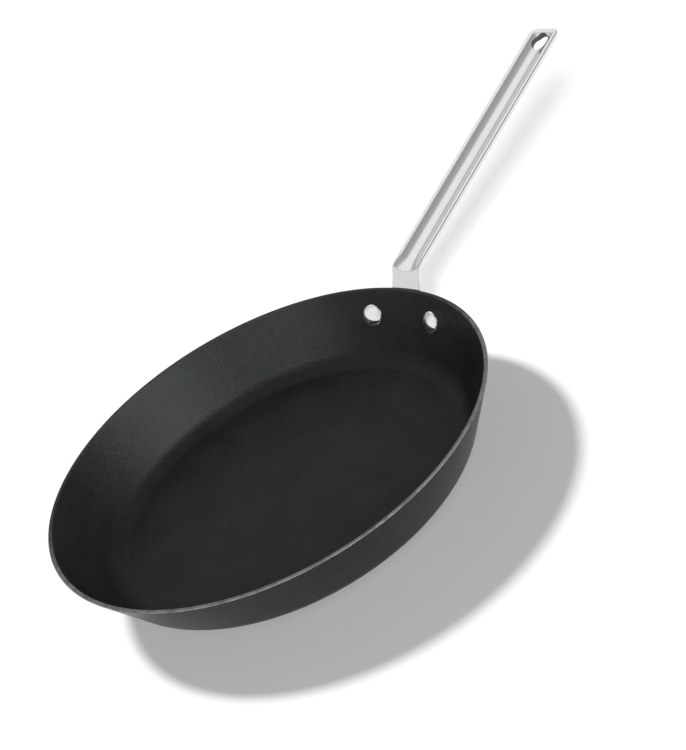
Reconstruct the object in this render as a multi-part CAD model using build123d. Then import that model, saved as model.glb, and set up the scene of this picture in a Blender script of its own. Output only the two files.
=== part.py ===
from build123d import *
import os
from math import acos, atan2, cos, degrees, hypot, radians, sin, sqrt, tan

# An omelette pan: a pressed aluminium vessel with a straight flared wall, and a stainless steel
# handle with a dished grip, held on by two solid rivets. Millimetres and degrees. The origin is the
# middle of the flat underside, +Z points up and the handle points along +X.

# Vessel; the rim's diameter is to the lip's outer corner before its bevel
rim_diameter = 305.0
pan_height = 45.0
base_diameter = 230.0
base_corner_radius = 19.0
wall = 2.5
lip_bevel = 0.4

# Handle strip: the plate and neck follow the outside of the flared wall
strip_thickness = 3.2
plate_height = 23.0
plate_drop = 7.6
neck_width = 25.8
neck_fillet = 9.0
neck_rise = 13.3
neck_taper_length = 6.0

# Grip, the same strip bent outwards and pressed into a dish
grip_rise_angle = 15.1
grip_length = 210.6
grip_width_at_neck = 24.6
grip_width_at_tip = 25.4
tip_corner_radius = 5.0
ridge_round = 3.0
inner_bend_radius = 1.6
land = 3.0
dish_depth = 3.1
mouth_length = 9.0
dish_end_angle = 42.0
hang_hole_diameter = 13.6
hang_hole_inset = 10.3

# Rivets
rivet_spacing_angle = 22.6
rivet_drop = 19.1
rivet_shank_diameter = 6.0
rivet_hole_gap = 0.1
head_diameter = 15.5
head_height = 3.3
head_edge_height = 0.7
tail_diameter = 11.5
tail_height = 2.4
tail_bevel = 0.9
end_sink = 0.6
crown_bands = 4

# Running values
seat_gap = 0.1
overrun = 20.0

rim_radius = rim_diameter / 2
base_radius = base_diameter / 2


def flared_wall():
    """Slope of the straight wall: the tangent from the rim to the round of the base corner."""
    across, up = rim_radius - base_radius, pan_height - base_corner_radius
    reach = hypot(across, up)
    return degrees(atan2(up, across) - acos(base_corner_radius / reach)) + 90


wall_angle = flared_wall()
SIN, COS, TAN = sin(radians(wall_angle)), cos(radians(wall_angle)), tan(radians(wall_angle))


def wall_point(height, out=0.0):
    """Radius and height of a point on the outer wall line, moved outwards square to the wall."""
    radius = rim_radius - (pan_height - height) / TAN
    return radius + out * SIN, height - out * COS


def corner_point(radius, angle):
    """Point of the base corner round, at an angle from straight down."""
    turn = radians(angle)
    return base_radius + radius * sin(turn), base_corner_radius - radius * cos(turn)


def vessel_profile():
    """Half section of the vessel: flat base, round corner, straight flared wall, bevelled lip."""
    inner = base_corner_radius - wall
    half = wall_angle / 2
    lip_inner = (rim_radius - wall / SIN, pan_height)
    outline = Polyline((0, wall), (0, 0), (base_radius, 0))
    outline += ThreePointArc(
        (base_radius, 0),
        corner_point(base_corner_radius, half),
        corner_point(base_corner_radius, wall_angle),
    )
    outline += Polyline(
        corner_point(base_corner_radius, wall_angle),
        (rim_radius, pan_height),
        lip_inner,
        corner_point(inner, wall_angle),
    )
    outline += ThreePointArc(
        corner_point(inner, wall_angle), corner_point(inner, half), (base_radius, wall)
    )
    outline += Line((base_radius, wall), (0, wall))
    face = make_face(Plane.XZ * outline)
    lip = face.vertices().group_by(Axis.Z)[-1]
    return chamfer(lip, lip_bevel)


def wall_frame(side_angle, drop):
    """Plane on the outer wall, turned about the pan's axis and let down the slope from the lip.

    Its z axis points out of the pan and its y axis points up the slope.
    """
    radius, height = wall_point(pan_height - drop * SIN)
    normal = Vector(SIN, 0, -COS)
    place = Plane(origin=(radius, 0, height), x_dir=(0, 1, 0), z_dir=normal)
    return Plane(Rotation(0, 0, side_angle) * place.location)


rivet_planes = {
    "left": wall_frame(rivet_spacing_angle / 2, rivet_drop),
    "right": wall_frame(-rivet_spacing_angle / 2, rivet_drop),
}


def rivet_holes(radius):
    """Cylinders along both rivets, through wall and plate."""
    depth = 2 * overrun
    return [plane * Cylinder(radius, depth) for plane in rivet_planes.values()]


def drilled(body):
    """The same body with both rivet holes."""
    for hole in rivet_holes(rivet_shank_diameter / 2 + rivet_hole_gap):
        body -= hole
    return body


def make_vessel():
    return revolve(vessel_profile(), Axis.Z)


def conical_layer(inside, outside, low, high):
    """Ring between two distances outside the wall line, from a low to a high level."""
    corners = [
        wall_point(low, inside),
        wall_point(high, inside),
        wall_point(high, outside),
        wall_point(low, outside),
    ]
    section = make_face(Plane.XZ * Polyline(*corners, close=True))
    return Rotation(0, 0, 180) * revolve(section, Axis.Z)


# The ridge where the neck turns into the grip, on the line of the neck's front face
ridge_height = pan_height + neck_rise
ridge = wall_point(ridge_height, seat_gap)
GRIP_SIN, GRIP_COS = sin(radians(grip_rise_angle)), cos(radians(grip_rise_angle))

# x runs along the grip from the ridge, y across it and z square to its top
grip_plane = Plane(
    origin=(ridge[0], 0, ridge[1]), x_dir=(GRIP_COS, 0, GRIP_SIN), z_dir=(-GRIP_SIN, 0, GRIP_COS)
)


def grip_half_width(along):
    """Half of the grip's width at a distance from the ridge."""
    share = max(along, 0) / grip_length
    return (grip_width_at_neck + (grip_width_at_tip - grip_width_at_neck) * share) / 2


def level_edges(sheet, depth):
    """Edges along the bend that lie at a depth below the top of the grip."""
    bend = grip_plane.to_local_coords(sheet).edges()
    picked = []
    for edge, placed in zip(sheet.edges(), bend):
        middle = placed.center()
        if abs(middle.Z + depth) < seat_gap and abs(middle.X) < overrun and placed.length > 3 * overrun:
            picked.append(edge)
    return picked


def make_sheet(inside_wall):
    """Wide sheet with one bend: conical along the wall, then flat along the grip."""
    side = 2 * (rivet_reach() + plate_height)
    half_space = Pos(2 * grip_length, 0, 0) * Box(4 * grip_length, side, 4 * grip_length)
    above = grip_plane * Pos(0, 0, 2 * overrun) * Box(12 * overrun, 2 * side, 4 * overrun)
    layer = conical_layer(seat_gap, seat_gap + strip_thickness, 0, ridge_height + overrun)
    length = grip_length + 4 * overrun
    flat = Pos(length / 2 - 2 * overrun, 0, -strip_thickness / 2) * Box(length, side, strip_thickness)
    sheet = (layer & half_space) - above + (grip_plane * flat - inside_wall)
    sheet = fillet(level_edges(sheet, 0), ridge_round)
    return fillet(level_edges(sheet, strip_thickness), inner_bend_radius)


def rivet_reach():
    """Distance of a rivet from the handle's middle."""
    radius = wall_point(pan_height - rivet_drop * SIN)[0]
    return radius * sin(radians(rivet_spacing_angle / 2))


def plate_outline():
    """The plate's bar with round ends, and the neck that narrows upwards to the grip's width."""
    bar_middle = -plate_drop - plate_height / 2
    bar = Pos(0, bar_middle) * SlotCenterToCenter(2 * rivet_reach(), plate_height)
    slim = grip_width_at_neck / 2
    straight = neck_taper_length
    root = slim + (neck_width / 2 - slim) * (straight - bar_middle) / straight
    top = neck_rise / SIN + overrun
    neck = Polyline(
        (-root, bar_middle),
        (root, bar_middle),
        (slim, straight),
        (slim, top),
        (-slim, top),
        (-slim, straight),
        close=True,
    )
    outline = bar + make_face(neck)
    inner_corners = [
        v for v in outline.vertices() if abs(v.X) < root and abs(v.Y + plate_drop) < seat_gap
    ]
    return fillet(inner_corners, neck_fillet)


def grip_outline():
    """Tapered strip with round corners at the tip."""
    near, far = grip_half_width(0), grip_half_width(grip_length)
    corners = Polyline((0, -near), (grip_length, -far), (grip_length, far), (0, near), close=True)
    face = make_face(corners)
    return fillet(face.vertices().group_by(Axis.X)[-1], tip_corner_radius)


def dish_section(along, half, grow):
    """Segment of a circle across the grip: the dish itself, or its underside, grown by a wall."""
    radius = (half**2 + dish_depth**2) / (2 * dish_depth)
    middle = radius - dish_depth
    radius += grow
    reach = sqrt(radius**2 - middle**2)
    plane = Plane(origin=(along, 0, 0), x_dir=(0, 1, 0), z_dir=(1, 0, 0))
    outline = ThreePointArc((-reach, 0), (0, middle - radius), (reach, 0))
    outline += Polyline((reach, 0), (reach, land), (-reach, land), (-reach, 0))
    return plane * make_face(outline)


def dish_form(grow):
    """Round-bottomed trough with a flared mouth at the neck and a sloping end at the tip."""
    half = grip_width_at_neck / 2 - land
    start = dish_section(mouth_length, half, grow)
    trough = extrude(start, amount=grip_length, dir=(1, 0, 0))
    before = dish_section(-mouth_length, half + 2 * land, grow)
    trough += loft([before, start], ruled=True)
    end = grip_length - land + grow / sin(radians(dish_end_angle))
    lean = overrun / tan(radians(dish_end_angle))
    keep = Polyline(
        (-2 * overrun, -overrun),
        (end - lean, -overrun),
        (end + lean, overrun),
        (-2 * overrun, overrun),
        close=True,
    )
    return trough & extrude(make_face(Plane.XZ * keep), amount=2 * overrun, both=True)


def make_handle():
    """Plate, neck and grip in one piece of strip."""
    inside_wall = conical_layer(-base_radius / 2, seat_gap, 0, ridge_height + 3 * overrun)
    blank = extrude(wall_frame(0, 0) * plate_outline(), amount=1.5 * overrun, both=True)
    blank += extrude(grip_plane * grip_outline(), amount=overrun, both=True)
    body = make_sheet(inside_wall) & blank

    below_top = Pos(0, 0, -overrun) * Box(4 * grip_length, 4 * overrun, 2 * overrun)
    underside = grip_plane * (dish_form(strip_thickness) & below_top)
    body += (underside & blank) - inside_wall
    body -= grip_plane * dish_form(0)
    hole_at = grip_length - hang_hole_inset
    return body - grip_plane * Pos(hole_at, 0, 0) * Cylinder(hang_hole_diameter / 2, 2 * overrun)


def domed_end(radius, edge, height):
    """Half section of a rivet head on z = 0: an upright edge and a crown of narrow sloping bands."""
    crown = height - edge
    sphere = (radius**2 + crown**2) / (2 * crown)
    full_turn = acos((sphere - crown) / sphere)
    turns = [full_turn * (1 - band / crown_bands) for band in range(crown_bands)]
    crown_line = [(sphere * sin(turn), height - sphere + sphere * cos(turn)) for turn in turns]
    return make_face(Plane.XZ * Polyline((0, 0), (radius, 0), *crown_line, (0, height), close=True))


def flat_end(radius, bevel, height):
    """Half section of a rivet's flattened end on z = 0, with a bevel round its top."""
    corners = [(0, 0), (radius, 0), (radius, height - bevel), (radius - bevel, height), (0, height)]
    return make_face(Plane.XZ * Polyline(*corners, close=True))


def make_rivet(plane, walls):
    """Domed head inside the pan, shank through wall and plate, and a smaller flat end outside."""
    stack = seat_gap + strip_thickness
    sink = end_sink
    head_face = domed_end(head_diameter / 2, head_edge_height + sink, head_height + sink)
    head = Pos(0, 0, sink - wall) * Rotation(180, 0, 0) * revolve(head_face, Axis.Z)
    tail_face = flat_end(tail_diameter / 2, tail_bevel, tail_height + sink)
    tail = Pos(0, 0, stack - sink) * revolve(tail_face, Axis.Z)
    ends = plane * (head + tail)
    for undrilled in walls:
        ends -= undrilled
    shank_length = wall + stack + 2 * sink
    shank = Pos(0, 0, (stack - wall) / 2) * Cylinder(rivet_shank_diameter / 2, shank_length)
    return ends + plane * shank


def main():
    os.makedirs("parts", exist_ok=True)
    vessel, handle = make_vessel(), make_handle()
    parts = {"vessel": drilled(vessel), "handle": drilled(handle)}
    for side, plane in rivet_planes.items():
        parts["rivet_" + side] = make_rivet(plane, [vessel, handle])
    for name, part in parts.items():
        export_step(part, f"parts/{name}.step")
        box = part.bounding_box()
        print(name, len(part.solids()), round(part.volume), box.min, box.max)


main()
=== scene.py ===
# %% [markdown]
# # A riveted omelette pan in Blender
# This notebook dresses a finished CAD model of an omelette pan: a pressed aluminium vessel with a dark hard
# coat, a stainless steel handle, and two polished rivets. The CAD gives every size. Blender adds smooth
# meshes, finishes and studio light, and shows the pan from the angle of a catalogue picture.

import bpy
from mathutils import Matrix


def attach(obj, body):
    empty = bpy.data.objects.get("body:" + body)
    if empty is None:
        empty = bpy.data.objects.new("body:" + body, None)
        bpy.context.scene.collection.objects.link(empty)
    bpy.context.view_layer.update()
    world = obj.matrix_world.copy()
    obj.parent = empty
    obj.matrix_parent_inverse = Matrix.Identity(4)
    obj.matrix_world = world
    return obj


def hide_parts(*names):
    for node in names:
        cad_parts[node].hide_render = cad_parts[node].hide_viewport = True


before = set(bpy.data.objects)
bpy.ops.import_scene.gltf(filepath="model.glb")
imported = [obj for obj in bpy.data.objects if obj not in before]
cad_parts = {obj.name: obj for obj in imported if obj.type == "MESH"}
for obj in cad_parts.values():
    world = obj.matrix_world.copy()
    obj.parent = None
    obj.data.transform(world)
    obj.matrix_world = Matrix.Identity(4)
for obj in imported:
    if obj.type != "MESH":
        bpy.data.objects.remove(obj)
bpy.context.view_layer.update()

# %% [markdown]
# ## Camera
# The pan floats at a slant in the picture, because the camera is rolled. A camera is placed by three facts:
# where it stands, the direction in which it looks, and its roll about that direction. Rolling the camera
# instead of the pan keeps the pan flat on its floor, as the CAD model has it.

# %% Camera
from math import acos, atan2, cos, degrees, hypot, pi, radians, sin, tan

import bpy
from mathutils import Matrix, Quaternion, Vector

camera_place = Vector((-0.4717, -0.8382, 0.6094))
camera_aim = Vector((0.473597, 0.725628, -0.499168))
camera_roll = radians(-28.224)

camera_data = bpy.data.cameras.new("camera")
camera_data.sensor_width = 36
camera_data.lens = 85
camera = bpy.data.objects.new("camera", camera_data)
turn = camera_aim.to_track_quat("-Z", "Y") @ Quaternion((0, 0, 1), camera_roll)
camera.matrix_world = Matrix.Translation(camera_place) @ turn.to_matrix().to_4x4()
bpy.context.scene.collection.objects.link(camera)
bpy.context.scene.camera = camera
print("camera right", [round(v, 4) for v in turn @ Vector((1, 0, 0))])

# %% [markdown]
# ## Helpers for nodes
# Finishes and rule-made shapes are both small graphs of nodes. A few helpers keep the graphs short: one
# adds a node and sets its inputs, one does a sum, one maps a range of values to another, and one mixes two
# colours. Each takes plain numbers or the sockets of other nodes.

# %% Node helpers
def feed(tree, socket, value):
    """Link a socket to another one, or set it to a plain value."""
    if isinstance(value, bpy.types.NodeSocket):
        tree.links.new(value, socket)
    else:
        socket.default_value = value


def put(tree, kind, **inputs):
    """A node with its inputs set by name."""
    node = tree.nodes.new(kind)
    for name, value in inputs.items():
        feed(tree, node.inputs[name.replace("_", " ")], value)
    return node


def calc(tree, operation, a, b=0.0):
    """The result of one sum."""
    node = tree.nodes.new("ShaderNodeMath")
    node.operation = operation
    feed(tree, node.inputs[0], a)
    feed(tree, node.inputs[1], b)
    return node.outputs[0]


def ramp(tree, value, low, high, start, end):
    """Map a value from one range to another, with a soft start and end."""
    node = put(tree, "ShaderNodeMapRange", Value=value)
    node.interpolation_type = "SMOOTHSTEP"
    for name, number in zip(("From Min", "From Max", "To Min", "To Max"), (low, high, start, end)):
        node.inputs[name].default_value = number
    return node.outputs["Result"]


def blend(tree, share, first, second):
    """A colour between two colours."""
    node = tree.nodes.new("ShaderNodeMix")
    node.data_type = "RGBA"
    feed(tree, node.inputs["Factor"], share)
    feed(tree, node.inputs[6], first)
    feed(tree, node.inputs[7], second)
    return node.outputs[2]


def new_material(name):
    """A material with one Principled shader; returns it with its tree and its shader."""
    material = bpy.data.materials.new(name)
    material.use_nodes = True
    tree = material.node_tree
    tree.nodes.clear()
    output = tree.nodes.new("ShaderNodeOutputMaterial")
    shader = tree.nodes.new("ShaderNodeBsdfPrincipled")
    tree.links.new(shader.outputs["BSDF"], output.inputs["Surface"])
    return material, tree, shader


# %% [markdown]
# ## Hard coat
# The vessel's dark finish is a hard oxide grown on aluminium. It is a near-black, slightly green grey with
# a very fine matt grain. Its lip is a lighter grey: partly wear from lids and turners, partly a painted
# highlight. A fine noise gives the grain, as bump and as a small change of roughness. A broad noise clouds
# the colour a little. The lighter lip is a second colour that comes in with height, broken up by a third
# noise, and it is stronger on the camera's side of the pan, which is painted highlight. All of them read
# Object coordinates, so the pattern stays on the metal whatever the view.

# %% Hard coat material
coat_low, coat_high = (0.0050, 0.0060, 0.0052, 1), (0.0075, 0.0090, 0.0078, 1)
# The lip's lighter grey stands partly for wear and partly for a painted highlight.
wear_and_highlight_grey = (0.115, 0.12, 0.115, 1)
wear_and_highlight_metal = 0.3
lip_level, lip_band = 0.0447, 0.0006
# The lip is lighter on the camera's side of the pan: a painted highlight.
highlight_way, highlight_from, highlight_to, far_side_level = (-0.49, -0.87), -0.05, 0.03, 0.08

hard_coat, tree, shader = new_material("hard_coat")
place = put(tree, "ShaderNodeTexCoord").outputs["Object"]
grain = put(tree, "ShaderNodeTexNoise", Vector=place, Scale=1000.0, Detail=3.0, Roughness=0.65)
cloud = put(tree, "ShaderNodeTexNoise", Vector=place, Scale=30.0, Detail=4.0, Roughness=0.55)
rub = put(tree, "ShaderNodeTexNoise", Vector=place, Scale=130.0, Detail=4.0, Roughness=0.6)
axes = put(tree, "ShaderNodeSeparateXYZ", Vector=place).outputs
coat = blend(tree, ramp(tree, cloud.outputs["Fac"], 0.3, 0.7, 0, 1), coat_low, coat_high)
near_lip = ramp(tree, axes["Z"], lip_level - lip_band, lip_level, 0, 1)
# Painted highlight: the lighter lip grows towards the camera's side of the pan.
along_x = calc(tree, "MULTIPLY", axes["X"], highlight_way[0])
highlight_side = calc(tree, "ADD", along_x, calc(tree, "MULTIPLY", axes["Y"], highlight_way[1]))
near_lip = calc(tree, "MULTIPLY", near_lip, ramp(tree, highlight_side, highlight_from, highlight_to, far_side_level, 1))
wear_and_highlight = calc(tree, "MULTIPLY", near_lip, ramp(tree, rub.outputs["Fac"], 0.3, 0.6, 0.45, 1.0))
# Colour and metal level of the lip: partly wear, partly painted highlight.
feed(tree, shader.inputs["Base Color"], blend(tree, wear_and_highlight, coat, wear_and_highlight_grey))
feed(tree, shader.inputs["Metallic"], calc(tree, "MULTIPLY", wear_and_highlight, wear_and_highlight_metal))
rough = ramp(tree, grain.outputs["Fac"], 0.3, 0.7, 0.25, 0.36)
feed(tree, shader.inputs["Roughness"], rough)
shader.inputs["Specular IOR Level"].default_value = 0.11
shader.inputs["Specular Tint"].default_value = (0.93, 1.0, 0.94, 1)
bump = put(tree, "ShaderNodeBump", Height=grain.outputs["Fac"], Strength=1.0, Distance=0.0003)
feed(tree, shader.inputs["Normal"], bump.outputs["Normal"])
print("hard coat nodes", len(tree.nodes))

# %% [markdown]
# ## Steel
# The handle is stainless steel strip with a satin polish. Polishing along the strip leaves hair-fine lines,
# so one noise is stretched along X, the way in which the handle points, and gives both bump and a slight
# change of tone. A broad noise clouds the roughness, as use does. The rivet heads are struck and polished
# bright, so they take the same graph with even, fainter marks and less roughness. The hang hole is punched,
# so its wall is torn metal and rougher. The wall is also darker, which is painted shade: a mask of the
# distance from the hole's axis gives it a tone of its own.

# %% Steel materials
# The hole wall's dark grey is painted shade. Its extra roughness stands for torn metal.
hole_shade_grey, torn_roughness, burr = (0.09, 0.09, 0.09, 1), 0.25, 0.00015


def from_axis(tree, place, middle, axis):
    """Distance of each point from a line through a middle."""
    arm = put(tree, "ShaderNodeVectorMath")
    arm.operation = "SUBTRACT"
    feed(tree, arm.inputs[0], place)
    arm.inputs[1].default_value = middle
    cross = put(tree, "ShaderNodeVectorMath")
    cross.operation = "CROSS_PRODUCT"
    feed(tree, cross.inputs[0], arm.outputs[0])
    cross.inputs[1].default_value = axis
    length = put(tree, "ShaderNodeVectorMath")
    length.operation = "LENGTH"
    feed(tree, length.inputs[0], cross.outputs[0])
    return length.outputs["Value"]


def make_steel(name, dark, light, rough_low, rough_high, stretch, depth, hole=None):
    """Steel between two tones and two roughnesses, with fine lines, and a rougher hole wall in painted shade
    where a hole is given.
    """
    material, tree, shader = new_material(name)
    place = put(tree, "ShaderNodeTexCoord").outputs["Object"]
    mapping = put(tree, "ShaderNodeMapping", Vector=place, Scale=stretch)
    lines = put(tree, "ShaderNodeTexNoise", Vector=mapping.outputs["Vector"], Scale=1100.0, Detail=3.0)
    cloud = put(tree, "ShaderNodeTexNoise", Vector=place, Scale=45.0, Detail=3.0)
    tone = blend(tree, ramp(tree, lines.outputs["Fac"], 0.3, 0.7, 0, 1), dark, light)
    rough = ramp(tree, cloud.outputs["Fac"], 0.3, 0.7, rough_low, rough_high)
    if hole:
        middle, axis, radius = hole
        # Darker hole wall: painted shade, with rougher metal.
        hole_wall = ramp(tree, from_axis(tree, place, middle, axis), radius, radius + burr, 1, 0)
        tone = blend(tree, hole_wall, tone, hole_shade_grey)
        rough = calc(tree, "ADD", rough, calc(tree, "MULTIPLY", hole_wall, torn_roughness))
    feed(tree, shader.inputs["Base Color"], tone)
    shader.inputs["Metallic"].default_value = 1.0
    feed(tree, shader.inputs["Roughness"], rough)
    bump = put(tree, "ShaderNodeBump", Height=lines.outputs["Fac"], Strength=depth, Distance=0.00005)
    feed(tree, shader.inputs["Normal"], bump.outputs["Normal"])
    return material


polished_steel = make_steel(
    "polished_steel",
    dark=(0.8, 0.8, 0.79, 1),
    light=(0.86, 0.86, 0.85, 1),
    rough_low=0.08,
    rough_high=0.13,
    stretch=(1, 1, 1),
    depth=0.08,
)
print("polished steel nodes", len(polished_steel.node_tree.nodes))

# %% [markdown]
# ## Turning with Geometry Nodes
# The vessel and the rivets are solids of revolution: one half section, turned round an axis. A Screw
# modifier or Spin could do it, but a node tree keeps each size as a named input, and one tree helper serves
# both. The section is a curve with x outwards and y up. A grid has one row for each of its points and one
# column for each step round, and every point of the grid is moved to its row's radius and height and its
# column's angle. Merging by distance then closes the seam and both poles.

# %% Tree helpers
def new_tree(name, labels):
    """A node tree with named lengths or angles as inputs; returns it with its input sockets."""
    tree = bpy.data.node_groups.new(name, "GeometryNodeTree")
    for label in labels:
        tree.interface.new_socket(label, in_out="INPUT", socket_type="NodeSocketFloat")
    tree.interface.new_socket("Geometry", in_out="OUTPUT", socket_type="NodeSocketGeometry")
    return tree, tree.nodes.new("NodeGroupInput").outputs


def pick(tree, kind, values):
    """A field that gives each point its own value, by the point's number."""
    node = tree.nodes.new("GeometryNodeIndexSwitch")
    node.data_type = kind
    while len(node.index_switch_items) < len(values):
        node.index_switch_items.new()
    feed(tree, node.inputs[0], tree.nodes.new("GeometryNodeInputIndex").outputs[0])
    for number, value in enumerate(values):
        feed(tree, node.inputs[number + 1], value)
    return node.outputs[0]


def section_curve(tree, corners, rounds, steps):
    """A polyline through corners of radius and height, each rounded by its own radius."""
    line = put(tree, "GeometryNodeMeshLine", Count=len(corners))
    places = [put(tree, "ShaderNodeCombineXYZ", X=x, Y=y).outputs[0] for x, y in corners]
    spread = pick(tree, "VECTOR", places)
    moved = put(tree, "GeometryNodeSetPosition", Geometry=line.outputs[0], Position=spread)
    curve = put(tree, "GeometryNodeMeshToCurve", Mesh=moved.outputs[0])
    fillet = tree.nodes.new("GeometryNodeFilletCurve")
    fillet.mode = "POLY"
    feed(tree, fillet.inputs["Curve"], curve.outputs[0])
    feed(tree, fillet.inputs["Count"], steps)
    feed(tree, fillet.inputs["Radius"], pick(tree, "FLOAT", rounds))
    return fillet.outputs[0]


# %% [markdown]
# ## From a section to a solid
# The grid's own points say which row and column they are in, so one Sample Index reads the section's point
# for each row. The tree helpers after it end a tree in the way that the export needs, and run it.

# %% Turning a section
merge_gap = 2e-6


def turned(tree, curve, columns):
    """Turn a section curve round the upright axis; seam and poles are merged."""
    size = tree.nodes.new("GeometryNodeAttributeDomainSize")
    size.component = "CURVE"
    feed(tree, size.inputs["Geometry"], curve)
    count = size.outputs["Point Count"]
    grid = put(tree, "GeometryNodeMeshGrid", Size_X=1.0, Size_Y=1.0, Vertices_X=columns + 1, Vertices_Y=count)
    place = tree.nodes.new("GeometryNodeInputPosition").outputs[0]
    share = put(tree, "ShaderNodeSeparateXYZ", Vector=place).outputs
    angle = calc(tree, "MULTIPLY", calc(tree, "ADD", share["X"], 0.5), 2 * pi)
    row = calc(tree, "MULTIPLY", calc(tree, "ADD", share["Y"], 0.5), calc(tree, "SUBTRACT", count, 1.0))
    sample = tree.nodes.new("GeometryNodeSampleIndex")
    sample.data_type = "FLOAT_VECTOR"
    feed(tree, sample.inputs["Geometry"], curve)
    feed(tree, sample.inputs["Value"], place)
    feed(tree, sample.inputs["Index"], calc(tree, "ROUND", row))
    point = put(tree, "ShaderNodeSeparateXYZ", Vector=sample.outputs[0]).outputs
    x = calc(tree, "MULTIPLY", point["X"], calc(tree, "COSINE", angle))
    y = calc(tree, "MULTIPLY", point["X"], calc(tree, "SINE", angle))
    goal = put(tree, "ShaderNodeCombineXYZ", X=x, Y=y, Z=point["Y"]).outputs[0]
    moved = put(tree, "GeometryNodeSetPosition", Geometry=grid.outputs["Mesh"], Position=goal)
    merged = put(tree, "GeometryNodeMergeByDistance", Geometry=moved.outputs[0], Distance=merge_gap)
    return put(tree, "GeometryNodeSetShadeSmooth", Geometry=merged.outputs[0]).outputs[0]


# %% Finishing and running a tree
def finish(tree, geometry, material):
    """End a tree as the export needs it: real geometry with its material."""
    real = put(tree, "GeometryNodeRealizeInstances", Geometry=geometry)
    dressed = put(tree, "GeometryNodeSetMaterial", Geometry=real.outputs[0], Material=material)
    tree.links.new(dressed.outputs[0], tree.nodes.new("NodeGroupOutput").inputs[0])


def grow(tree, sizes, name):
    """Run a tree with its named sizes and keep the result as a plain mesh object."""
    holder = bpy.data.objects.new(name + "_holder", bpy.data.meshes.new(name + "_holder"))
    bpy.context.scene.collection.objects.link(holder)
    modifier = holder.modifiers.new("grow", "NODES")
    modifier.node_group = tree
    for item in tree.interface.items_tree:
        if item.in_out == "INPUT":
            modifier[item.identifier] = sizes[item.name]
    graph = bpy.context.evaluated_depsgraph_get()
    mesh = bpy.data.meshes.new_from_object(holder.evaluated_get(graph))
    bpy.data.objects.remove(holder)
    mesh.name = name
    piece = bpy.data.objects.new(name, mesh)
    bpy.context.scene.collection.objects.link(piece)
    print(name, len(mesh.polygons), "faces, size", [round(v, 4) for v in piece.dimensions])
    return piece


# %% [markdown]
# ## Vessel
# The vessel is a pressed aluminium dish: flat base, round corner, straight flared wall, and a square-cut
# lip. Its section has only six corners. Four of them are rounded: the base corner outside and inside, which
# share one centre, and the two edges of the lip.

# %% Vessel sizes
MM = 0.001
rim_radius = 152.5 * MM
pan_height = 45 * MM
base_radius = 115 * MM
corner_radius = 19 * MM
wall = 2.5 * MM
lip_round = 0.6 * MM

reach = hypot(rim_radius - base_radius, pan_height - corner_radius)
lean = atan2(pan_height - corner_radius, rim_radius - base_radius) - acos(corner_radius / reach) + pi / 2
vessel_sizes = {
    "Rim Radius": rim_radius,
    "Height": pan_height,
    "Slope": lean,
    "Corner Radius": corner_radius,
    "Wall": wall,
    "Lip Round": lip_round,
}
print("wall slope", round(degrees(lean), 2))

# %% Vessel tree
tree, size = new_tree("turned_vessel", list(vessel_sizes))
run = calc(tree, "DIVIDE", 1.0, calc(tree, "TANGENT", size["Slope"]))
foot = calc(tree, "SUBTRACT", size["Rim Radius"], calc(tree, "MULTIPLY", size["Height"], run))
lip_width = calc(tree, "DIVIDE", size["Wall"], calc(tree, "SINE", size["Slope"]))
lip_inside = calc(tree, "SUBTRACT", size["Rim Radius"], lip_width)
depth = calc(tree, "SUBTRACT", size["Height"], size["Wall"])
inner_foot = calc(tree, "SUBTRACT", lip_inside, calc(tree, "MULTIPLY", depth, run))
inner_round = calc(tree, "SUBTRACT", size["Corner Radius"], size["Wall"])
corners = [
    (0.0, 0.0),
    (foot, 0.0),
    (size["Rim Radius"], size["Height"]),
    (lip_inside, size["Height"]),
    (inner_foot, size["Wall"]),
    (0.0, size["Wall"]),
]
rounds = [0.0, size["Corner Radius"], size["Lip Round"], size["Lip Round"], inner_round, 0.0]
round_steps, vessel_columns = 14, 288
curve = section_curve(tree, corners, rounds, round_steps)
finish(tree, turned(tree, curve, vessel_columns), hard_coat)

# %% Vessel piece
vessel = grow(tree, vessel_sizes, "vessel_body")
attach(vessel, "root")
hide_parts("vessel")

# %% [markdown]
# ## Handle
# The handle is one steel strip: a curved plate that lies on the vessel's wall, a neck, a sharp bend, and a
# grip that is pressed into a dish. It could be cut from the CAD copy and bevelled, but long CAD triangles
# shade badly on polished metal. Here a grid of points follows the strip from the plate's lower edge to the
# tip: the rows are stations along the strip, the columns run across it. One rule gives the front face, one
# the back, and a ring of small steps rounds the edge between them.

# %% Strip sizes
import numpy as np

slope_sin, slope_cos, slope_tan = sin(lean), cos(lean), tan(lean)
strip = 3.2 * MM
seat_gap = 0.1 * MM
plate_height, plate_drop = 23 * MM, 7.6 * MM
neck_half, slim_half = 12.9 * MM, 12.3 * MM
taper_length, neck_fillet, neck_rise = 6 * MM, 9 * MM, 13.3 * MM
rise = radians(15.1)
grip_length, tip_half, tip_corner = 210.6 * MM, 12.7 * MM, 5 * MM
land, dish_depth, mouth_length, dish_end = 3 * MM, 3.1 * MM, 9 * MM, radians(42)
rivet_drop, rivet_angle = 19.1 * MM, radians(11.3)
rivet_reach = (rim_radius - rivet_drop * slope_cos) * sin(rivet_angle)
ridge_x = rim_radius + neck_rise / slope_tan + seat_gap * slope_sin
ridge_z = pan_height + neck_rise - seat_gap * slope_cos
edge_round, lip_soft = 0.7 * MM, 0.5 * MM
print("bend at", round(ridge_x, 4), round(ridge_z, 4))

# %% [markdown]
# ## Where the strip lies
# The plate and neck follow the cone of the wall, and the grip follows a straight line. So there are two
# ways to say where a point is: up the slope, across and out from the wall, or along, across and up from the
# grip. The first has no closed formula for a strip of even gauge on a cone, and a few steps of Newton's
# method solve it.

# %% Two coordinate systems
newton_steps = 5


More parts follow.
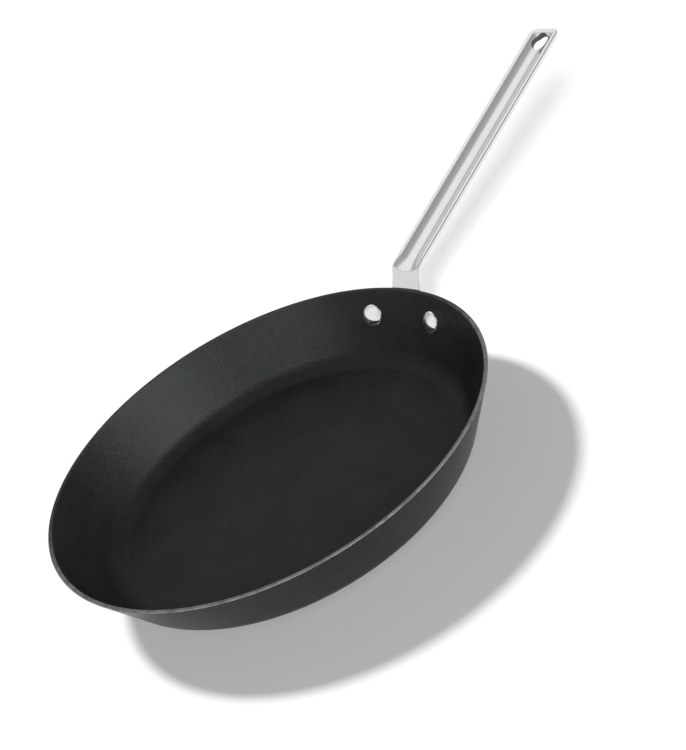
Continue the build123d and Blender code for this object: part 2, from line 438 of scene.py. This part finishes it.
def on_wall(up, y, out):
    """Place outside the cone of the wall: a distance up the slope from the rim, y across, and out."""
    a = rim_radius + up * slope_cos
    n = np.full_like(a + y, out, dtype=float)
    for step in range(newton_steps):
        r = np.sqrt((a + n * slope_sin) ** 2 + y**2)
        excess = r - a - (out - n * slope_cos * slope_cos) / slope_sin
        n = n - excess / ((a + n * slope_sin) * slope_sin / r + slope_cos * slope_cos / slope_sin)
    return np.stack([a + n * slope_sin, y + 0 * a, pan_height + up * slope_sin - n * slope_cos], -1)


def on_grip(s, y, n):
    """Place on the grip: s along it from the bend, y across it and n square to its top."""
    x = ridge_x + s * cos(rise) - n * sin(rise)
    return np.stack([x, y + 0 * s, ridge_z + s * sin(rise) + n * cos(rise)], -1)


def to_grip(place):
    """The way back: how far a point is along the grip and above it."""
    dx, dz = place[..., 0] - ridge_x, place[..., 2] - ridge_z
    return dx * cos(rise) + dz * sin(rise), dz * cos(rise) - dx * sin(rise)


# %% [markdown]
# ## Dish of the grip
# The press leaves a trough with a narrow flat land on each side, a flared mouth at the bend and a sloped
# end before the tip. The trough is an arc of a circle, and its underside is the same arc, grown by the
# gauge. A soft maximum joins trough, slope and land with a small round, as bent metal has, where a plain
# one leaves a crease.

# %% Dish of the grip
def soft_max(a, b, softness):
    """The larger of two values, with a smooth change from one to the other."""
    return 0.5 * (a + b + np.sqrt((a - b) ** 2 + softness**2))


def dish(s, y, grown):
    """Depth of the dish below the grip's top, or of its underside when grown by the strip."""
    flare = land * np.clip(mouth_length - s, 0, None) / mouth_length
    half = slim_half - land + flare
    radius = (half**2 + dish_depth**2) / (2 * dish_depth)
    depth = np.sqrt(np.clip((radius + grown) ** 2 - y**2, 0, None)) - (radius - dish_depth)
    end = (grip_length - land + grown / sin(dish_end) - s) * tan(dish_end)
    return -soft_max(-depth, -end, lip_soft)


def top_level(s, y):
    """Level of the front face, counted up from the grip's plane."""
    return -soft_max(dish(s, y, 0.0), 0.0, lip_soft)


def under_level(s, y):
    """Level of the back face, counted up from the grip's plane."""
    return -soft_max(dish(s, y, strip), strip, lip_soft)


print("dish depth at mid grip", round(float(-top_level(0.1, 0.0)) / MM, 2), "mm")

# %% [markdown]
# ## Outline of the strip
# The plate is a bar with round ends, wide enough for two rivets. Inward rounds lead from it to the neck,
# which tapers a little towards the grip, and the grip widens a little towards its round-cornered tip. Each
# outline is a list of rows, with more of them where it turns.

# %% Outline of plate and neck
bar_end_steps, neck_round_steps, taper_shares = 16, 8, (0.4, 0.7, 1.0)


def plate_side(inset):
    """Half outline, moved in from the edge: across, up the slope, and the way out of the metal."""
    middle, bar = -plate_drop - plate_height / 2, plate_height / 2 - inset
    rows = [(rivet_reach, middle - bar, 0, -1)]
    for turn in np.radians(np.linspace(-90, 90, bar_end_steps + 1))[1:]:
        rows.append((rivet_reach + bar * cos(turn), middle + bar * sin(turn), cos(turn), sin(turn)))
    taper = (neck_half - slim_half) / taper_length
    centre_up = neck_fillet - plate_drop
    centre_y = neck_half - taper * centre_up + neck_fillet * hypot(1, taper)
    for turn in np.linspace(-pi / 2, atan2(taper, 1) - pi, neck_round_steps + 1):
        r = neck_fillet + inset
        rows.append((centre_y + r * cos(turn), centre_up + r * sin(turn), -cos(turn), -sin(turn)))
    for share in taper_shares:
        up = taper_length * share
        rows.append((slim_half + taper * (taper_length - up) - inset, up, 1, 0))
    return np.array(rows)


# %% Outline of the grip
tip_zone, coarse_step, fine_step, tip_steps = 20 * MM, 4 * MM, 0.6 * MM, 12


def grip_side(start, inset):
    """Half outline of the grip, from a start to the tip."""
    straight = grip_length - tip_corner
    coarse = np.arange(start, straight - tip_zone, coarse_step)
    fine = np.arange(straight - tip_zone, straight, fine_step)
    places = np.concatenate([coarse, fine, [straight]])
    widths = slim_half + (tip_half - slim_half) * places / grip_length - inset
    rows = [(half, s, 1, 0) for half, s in zip(widths, places)]
    for turn in np.linspace(0, pi / 2, tip_steps + 1)[1:]:
        r = tip_corner - inset
        rows.append((widths[-1] - r + r * cos(turn), straight + r * sin(turn), cos(turn), sin(turn)))
    return np.array(rows)


# %% [markdown]
# ## Rows round the bend
# The sharp bend is where the dish cuts into the neck, so it isn't a straight fold: its corner lies lower in
# the middle than at the sides. For each column the corner is found by halving a range, and an arc then
# rounds it.

# %% Rows round the bend
bend_low, bend_high, halvings = -2 * MM, 25 * MM, 40
neck_rows, arc_rows, mouth_rows = 6, 8, 9


def bend_rows(shares, out, level, round_radius, end):
    """Rows from the neck's taper, round an arc between neck and grip, to a common line on the grip."""
    y = shares * (slim_half - edge_round)
    low, high = np.full(y.shape, bend_low), np.full(y.shape, bend_high)
    for step in range(halvings):
        middle = (low + high) / 2
        s, n = to_grip(on_wall(middle, y, out))
        above = n > level(s, y)
        high, low = np.where(above, middle, high), np.where(above, low, middle)
    corner = on_wall(low, y, out)
    s = to_grip(corner)[0]
    into = corner - on_wall(low - MM, y, out)
    onward = on_grip(s + MM, y, level(s + MM, y)) - corner
    into /= np.linalg.norm(into, axis=-1, keepdims=True)
    onward /= np.linalg.norm(onward, axis=-1, keepdims=True)
    turn = np.arccos(np.clip((into * onward).sum(-1), -1, 1))
    tangent = round_radius * np.tan(turn / 2)
    rows = [
        on_wall(taper_length + (low - tangent - taper_length) * share, y, out)
        for share in np.linspace(0, 1, neck_rows + 1)[1:]
    ]
    first, last = corner - into * tangent[:, None], corner + onward * tangent[:, None]
    weight = np.cos(turn / 2)[:, None]
    for t in np.linspace(0, 1, arc_rows + 1)[1:]:
        a, b, c = (1 - t) ** 2, 2 * t * (1 - t) * weight, t * t
        rows.append((first * a + corner * b + last * c) / (a + b + c))
    start = to_grip(last)[0]
    for share in np.linspace(0, 1, mouth_rows + 1)[1:-1]:
        s = start + (end - start) * share
        rows.append(on_grip(s, y, level(s, y)))
    return rows


# %% [markdown]
# ## Front, back and edge
# The columns stand closer together where the dish meets its land. Every row of the front face has its
# partner on the back face, one gauge behind it. A ring of small steps then rounds the cut edge all the way
# round the strip.

# %% Front and back of the strip
half_columns = [0, 1, 2, 3, 4, 5, 6, 7, 7.8, 8.4, 8.8, 9.1, 9.4, 9.8, 10.4, 11, 11.6]
across = np.array(half_columns) / half_columns[-1]
shares = np.concatenate([-across[:0:-1], across])
bend_end, bend_outside, bend_inside = 14 * MM, 1.4 * MM, 1.8 * MM
side_axis = np.array([0.0, 1.0, 0.0])
front, back, onward_way, side_way = [], [], [], []
for half, up, way_y, way_up in plate_side(edge_round):
    y = shares * half
    front.append(on_wall(0 * y + up, y, seat_gap))
    back.append(on_wall(0 * y + up, y, seat_gap + strip))
    turn = np.arctan2(y, front[-1][:, 0])
    uphill = np.stack([np.cos(turn) * slope_cos, np.sin(turn) * slope_cos, 0 * turn + slope_sin], -1)
    onward_way.append(uphill * way_up)
    side_way.append(np.stack([-np.sin(turn), np.cos(turn), 0 * turn], -1) * way_y)
outer_bend = bend_rows(shares, seat_gap, top_level, bend_outside, bend_end)
inner_bend = bend_rows(shares, seat_gap + strip, under_level, bend_inside, bend_end)
for outer, inner in zip(outer_bend, inner_bend):
    front.append(outer)
    back.append(inner)
    onward_way.append(0 * outer)
    side_way.append(0 * outer + side_axis)
along = np.array([cos(rise), 0, sin(rise)])
for half, s, way_y, way_s in grip_side(bend_end, edge_round):
    y = shares * half
    front.append(on_grip(0 * y + s, y, top_level(s, y)))
    back.append(on_grip(0 * y + s, y, under_level(s, y)))
    onward_way.append(0 * front[-1] + along * way_s)
    side_way.append(0 * front[-1] + side_axis * way_y)
front, back = np.array(front), np.array(back)
print("strip grid", front.shape)

# %% Edge of the strip and faces
edge_turns = np.radians([22.5, 45, 67.5, 90])


def strip_mesh(name):
    """The strip as one closed mesh: both faces and the rounded edge between them."""
    rows, cols = front.shape[:2]
    loop = [(k, cols - 1) for k in range(rows)] + [(rows - 1, j) for j in range(cols - 2, -1, -1)]
    loop += [(k, 0) for k in range(rows - 2, -1, -1)] + [(0, j) for j in range(1, cols - 1)]
    side = {0: -1, cols - 1: 1}
    way = np.array([onward_way[k][j] + side_way[k][j] * side.get(j, 0) for k, j in loop])
    way /= np.linalg.norm(way, axis=-1, keepdims=True)
    first, last = np.array([front[p] for p in loop]), np.array([back[p] for p in loop])
    down = last - first
    down -= (down * way).sum(-1, keepdims=True) * way
    down /= np.linalg.norm(down, axis=-1, keepdims=True)
    rings = [first + edge_round * (way * sin(t) + down * (1 - cos(t))) for t in edge_turns]
    rings += [last + edge_round * (way * sin(t) - down * (1 - cos(t))) for t in edge_turns[::-1]]
    points = np.concatenate([front.reshape(-1, 3), back.reshape(-1, 3)] + rings)
    ids = np.arange(rows * cols).reshape(rows, cols)
    faces = []
    for k in range(rows - 1):
        for j in range(cols - 1):
            quad = [ids[k, j], ids[k + 1, j], ids[k + 1, j + 1], ids[k, j + 1]]
            faces.append(quad)
            faces.append([v + rows * cols for v in reversed(quad)])
    start = 2 * rows * cols
    chain = [[int(ids[p]) for p in loop]]
    chain += [list(range(start + n * len(loop), start + (n + 1) * len(loop))) for n in range(len(rings))]
    chain.append([v + rows * cols for v in chain[0]])
    for low, high in zip(chain, chain[1:]):
        for i in range(len(loop)):
            m = (i + 1) % len(loop)
            faces.append([low[i], low[m], high[m], high[i]])
    mesh = bpy.data.meshes.new(name)
    mesh.from_pydata(points.tolist(), [], [[int(v) for v in face] for face in faces])
    return mesh


handle = bpy.data.objects.new("handle_strip", strip_mesh("handle_strip"))
bpy.context.scene.collection.objects.link(handle)
print("handle faces", len(handle.data.polygons))

# %% [markdown]
# ## Hang hole
# A round hole is punched through the sloped end of the dish, so its edge isn't flat. An exact Boolean with
# a round cutter gives that edge by itself. Edges sharper than a limit stay crisp in the shading.

# %% Hang hole
cutter_sides, cutter_depth, handle_crisp = 64, 30 * MM, radians(40)
hole_inset, hole_radius = 10.3 * MM, 6.8 * MM
hole_at = grip_length - hole_inset
bpy.ops.mesh.primitive_cylinder_add(vertices=cutter_sides, radius=hole_radius, depth=cutter_depth)
cutter = bpy.context.object
hole_place = Vector(on_grip(np.array(hole_at), np.array(0.0), np.array(0.0)))
cutter.matrix_world = Matrix.Translation(hole_place) @ Matrix.Rotation(-rise, 4, "Y")
cut = handle.modifiers.new("hole", "BOOLEAN")
cut.object = cutter
cut.solver = "EXACT"
graph = bpy.context.evaluated_depsgraph_get()
handle_mesh = bpy.data.meshes.new_from_object(handle.evaluated_get(graph))
handle.modifiers.clear()
handle.data = handle_mesh
bpy.data.objects.remove(cutter)

# %% Finish of the handle
hole_axis = (-sin(rise), 0, cos(rise))
satin_steel = make_steel(
    "satin_steel",
    dark=(0.69, 0.69, 0.68, 1),
    light=(0.74, 0.74, 0.73, 1),
    rough_low=0.16,
    rough_high=0.21,
    stretch=(0.05, 1, 1),
    depth=0.12,
    hole=(hole_place, hole_axis, hole_radius),
)
handle.data.materials.clear()
handle.data.materials.append(satin_steel)
for polygon in handle.data.polygons:
    polygon.use_smooth = True
handle.data.set_sharp_from_angle(angle=handle_crisp)
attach(handle, "root")
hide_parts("handle")
print("handle faces after the hole", len(handle.data.polygons))

# %% [markdown]
# ## Rivets
# Two solid rivets go through wall and plate. The head inside the pan is a shallow polished dome with a
# round shoulder, and the end outside is struck flat. Both rivets come from one tree, so it has an input for
# the angle round the pan at which a rivet sits. Its section starts with the arc of a dome, worked out from
# the head's width and height, and goes on with corners as the vessel's does.

# %% Rivet sizes
rivet_sizes = {
    "Head Radius": 7.75 * MM,
    "Head Height": 3.3 * MM,
    "Edge Height": 1.4 * MM,
    "Shank Radius": 3 * MM,
    "Tail Radius": 5.75 * MM,
    "Tail Height": 2.4 * MM,
    "Wall": wall,
    "Strip": seat_gap + strip,
    "Sink": 0.6 * MM,
    "Slope": lean,
    "Seat Radius": rim_radius - rivet_drop * slope_cos,
    "Seat Height": pan_height - rivet_drop * slope_sin,
}
print("rivets sit at", round(degrees(rivet_angle), 1), "degrees each side")

# %% Rivet tree
tree, size = new_tree("turned_rivet", list(rivet_sizes) + ["Side Angle"])
crown = calc(tree, "SUBTRACT", size["Head Height"], size["Edge Height"])
squares = calc(tree, "ADD", calc(tree, "POWER", size["Head Radius"], 2.0), calc(tree, "POWER", crown, 2.0))
ball = calc(tree, "DIVIDE", squares, calc(tree, "MULTIPLY", crown, 2.0))
full = calc(tree, "ARCSINE", calc(tree, "DIVIDE", size["Head Radius"], ball))
inside = calc(tree, "MULTIPLY", size["Wall"], -1.0)
low = calc(tree, "SUBTRACT", inside, size["Head Height"])
dome_steps, shoulder, tail_round = 10, 1.1 * MM, 1.0 * MM
dome = []
for step in range(dome_steps + 1):
    turn = calc(tree, "MULTIPLY", full, step / dome_steps)
    drop = calc(tree, "MULTIPLY", ball, calc(tree, "SUBTRACT", 1.0, calc(tree, "COSINE", turn)))
    dome.append((calc(tree, "MULTIPLY", ball, calc(tree, "SINE", turn)), calc(tree, "ADD", low, drop)))
seat = calc(tree, "ADD", inside, size["Sink"])
tail_seat = calc(tree, "SUBTRACT", size["Strip"], size["Sink"])
tail_end = calc(tree, "ADD", size["Strip"], size["Tail Height"])
corners = dome + [
    (size["Head Radius"], seat),
    (size["Shank Radius"], seat),
    (size["Shank Radius"], tail_seat),
    (size["Tail Radius"], tail_seat),
    (size["Tail Radius"], tail_end),
    (0.0, tail_end),
]
rounds = [0.0] * dome_steps + [shoulder, 0.0, 0.0, 0.0, 0.0, tail_round, 0.0]
round_steps, rivet_columns = 6, 64
curve = section_curve(tree, corners, rounds, round_steps)
rivet = turned(tree, curve, rivet_columns)
tilt = calc(tree, "SUBTRACT", pi, size["Slope"])
place = put(tree, "ShaderNodeCombineXYZ", X=size["Seat Radius"], Z=size["Seat Height"]).outputs[0]
lean_over = put(tree, "ShaderNodeCombineXYZ", Y=tilt).outputs[0]
seated = put(tree, "GeometryNodeTransform", Geometry=rivet, Translation=place, Rotation=lean_over)
round_pan = put(tree, "ShaderNodeCombineXYZ", Z=size["Side Angle"]).outputs[0]
placed = put(tree, "GeometryNodeTransform", Geometry=seated.outputs[0], Rotation=round_pan)
finish(tree, placed.outputs[0], polished_steel)

# %% Rivet pieces
rivet_crisp = radians(50)
rivets = []
for side, angle in (("left", rivet_angle), ("right", -rivet_angle)):
    piece = grow(tree, {**rivet_sizes, "Side Angle": angle}, "rivet_" + side + "_polished")
    piece.data.set_sharp_from_angle(angle=rivet_crisp)
    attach(piece, "root")
    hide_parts("rivet_" + side)
    rivets.append(piece)

# %% [markdown]
# ## Outward faces
# A turned or hand-built mesh can come out inside up, and it then shades wrongly and weighs less than
# nothing. A positive volume shows that the faces point outwards, and no open edge shows that seams and
# poles are closed.

# %% Outward faces
import bmesh

for piece in [vessel, handle] + rivets:
    bm = bmesh.new()
    bm.from_mesh(piece.data)
    open_edges = sum(not edge.is_manifold for edge in bm.edges)
    print(piece.name, "volume", round(bm.calc_volume(signed=True) * 1e6, 2), "cm3, open edges", open_edges)
    bm.free()

# %% [markdown]
# ## Floor
# The pan stands on a pale studio floor. The floor adds a faint glow that only camera, glossy and
# transmission rays see, so it reads white without a stronger lamp on the pan, and it still takes the pan's
# shadow. It lies a hair below the base, so that the two flat faces don't share one plane.

# %% Floor
def ray_kinds(tree):
    """Two numbers, one for rays from the camera and one for rays by way of metal or glass."""
    path = tree.nodes.new("ShaderNodeLightPath").outputs
    return path["Is Camera Ray"], calc(tree, "MAXIMUM", path["Is Glossy Ray"], path["Is Transmission Ray"])


floor_size, floor_drop = 12, 0.1 * MM
floor_grey, seen_glow, mirrored_glow = (0.8, 0.8, 0.8, 1), 0.03, 0.1
bpy.ops.mesh.primitive_plane_add(size=floor_size, location=(0, 0, -floor_drop))
floor = bpy.context.object
floor.name = "studio_floor"
floor_material = bpy.data.materials.new("studio_floor")
floor_material.use_nodes = True
tree = floor_material.node_tree
tree.nodes.clear()
diffuse = put(tree, "ShaderNodeBsdfDiffuse", Color=floor_grey)
direct, mirrored = ray_kinds(tree)
seen = calc(tree, "MULTIPLY", direct, seen_glow)
seen_in_metal = calc(tree, "MULTIPLY", mirrored, mirrored_glow)
glow = put(tree, "ShaderNodeEmission", Strength=calc(tree, "ADD", seen, seen_in_metal))
add = tree.nodes.new("ShaderNodeAddShader")
feed(tree, add.inputs[0], diffuse.outputs[0])
feed(tree, add.inputs[1], glow.outputs[0])
feed(tree, tree.nodes.new("ShaderNodeOutputMaterial").inputs["Surface"], add.outputs[0])
floor.data.materials.append(floor_material)

# %% [markdown]
# ## Light
# A studio builds a picture like this from a few soft sources. A lamp far behind the pan throws the vessel's
# shadow towards the camera, and a second one on the camera's side throws the handle's shadow. Two large
# softboxes shape the dark vessel. Light linking keeps the shadow lamps on the floor and the softboxes on
# the vessel, as flags and barn doors do in a studio, so each does one job. The steel needs no lamp: it
# mirrors the world and the floor.

# %% Lamp helpers
sun_distance, box_distance = 3, 2


def linked(lamp, receivers, blockers=()):
    """Say which pieces a lamp lights, and which ones cast its shadow when only some do."""
    group = bpy.data.collections.new(lamp.name + "_receivers")
    for piece in receivers:
        group.objects.link(piece)
    lamp.light_linking.receiver_collection = group
    if blockers:
        group = bpy.data.collections.new(lamp.name + "_blockers")
        for piece in blockers:
            group.objects.link(piece)
        lamp.light_linking.blocker_collection = group


def aimed(lamp, toward, distance):
    """Stand a lamp in a direction from the pan, facing it."""
    way = Vector(toward).normalized()
    lamp.location = way * distance
    lamp.rotation_euler = way.to_track_quat("Z", "Y").to_euler()
    bpy.context.scene.collection.objects.link(lamp)


def softbox(name, toward, width, height, radiance, pieces):
    """A rectangular lamp, as bright to a mirror as its radiance says, and unseen by the camera."""
    data = bpy.data.lights.new(name, "AREA")
    data.shape = "RECTANGLE"
    data.size, data.size_y = width, height
    data.energy = radiance * pi * width * height
    lamp = bpy.data.objects.new(name, data)
    lamp.visible_camera = False
    aimed(lamp, toward, box_distance)
    linked(lamp, pieces)


def sun(name, toward, strength, width, receivers, blockers=()):
    """A far lamp; its width in degrees says how soft its shadow is."""
    data = bpy.data.lights.new(name, "SUN")
    data.energy = strength
    data.angle = radians(width)
    lamp = bpy.data.objects.new(name, data)
    aimed(lamp, toward, sun_distance)
    linked(lamp, receivers, blockers)


# %% Lamps
sun("vessel_sun", toward=(6.75, 58.55, 45), strength=3.9, width=7, receivers=[floor], blockers=[vessel])
sun("handle_sun", toward=(-0.59, -0.59, 0.55), strength=2.1, width=9, receivers=[floor], blockers=[handle])
softbox("front_box", (0.16, -0.80, 0.57), width=2.0, height=1.1, radiance=11.0, pieces=[vessel])
softbox("left_box", (-0.90, -0.36, 0.26), width=1.2, height=1.0, radiance=14.0, pieces=[vessel])

# %% [markdown]
# ## World
# The camera sees the world as plain white. Rough surfaces get a low, even level from it. Metal and the
# sheen of the coat see a studio with a pale overhead panel, a wall that is paler behind the pan than on the
# camera's side, and a pale flag on the left, because polished steel only looks like steel when it mirrors
# light and dark parts.

# %% World
overhead_way = Vector((0.15, 0.62, 0.77)).normalized()
plain_light = 0.15
world = bpy.data.worlds.new("studio")
bpy.context.scene.world = world
world.use_nodes = True
tree = world.node_tree
tree.nodes.clear()
way = put(tree, "ShaderNodeTexCoord").outputs["Generated"]
axes = put(tree, "ShaderNodeSeparateXYZ", Vector=way).outputs
facing = put(tree, "ShaderNodeVectorMath")
facing.operation = "DOT_PRODUCT"
feed(tree, facing.inputs[0], way)
facing.inputs[1].default_value = overhead_way
overhead = ramp(tree, facing.outputs["Value"], 0.88, 0.95, 0, 0.6)
back_wall = ramp(tree, axes["Y"], -0.5, 0.1, 0.28, 0.5)
left_flag = ramp(tree, axes["X"], -0.6, -0.2, 0.45, 0)
backdrop = calc(tree, "ADD", overhead, calc(tree, "ADD", back_wall, left_flag))
direct, mirrored = ray_kinds(tree)
plain = calc(tree, "MULTIPLY", calc(tree, "SUBTRACT", 1.0, mirrored), plain_light)
strength = calc(tree, "ADD", plain, calc(tree, "MULTIPLY", mirrored, backdrop))
strength = calc(tree, "MAXIMUM", strength, direct)
background = put(tree, "ShaderNodeBackground", Color=(1, 1, 1, 1), Strength=strength)
feed(tree, tree.nodes.new("ShaderNodeOutputWorld").inputs["Surface"], background.outputs[0])
bpy.context.scene.view_settings.view_transform = "Standard"
print("world nodes", len(tree.nodes))
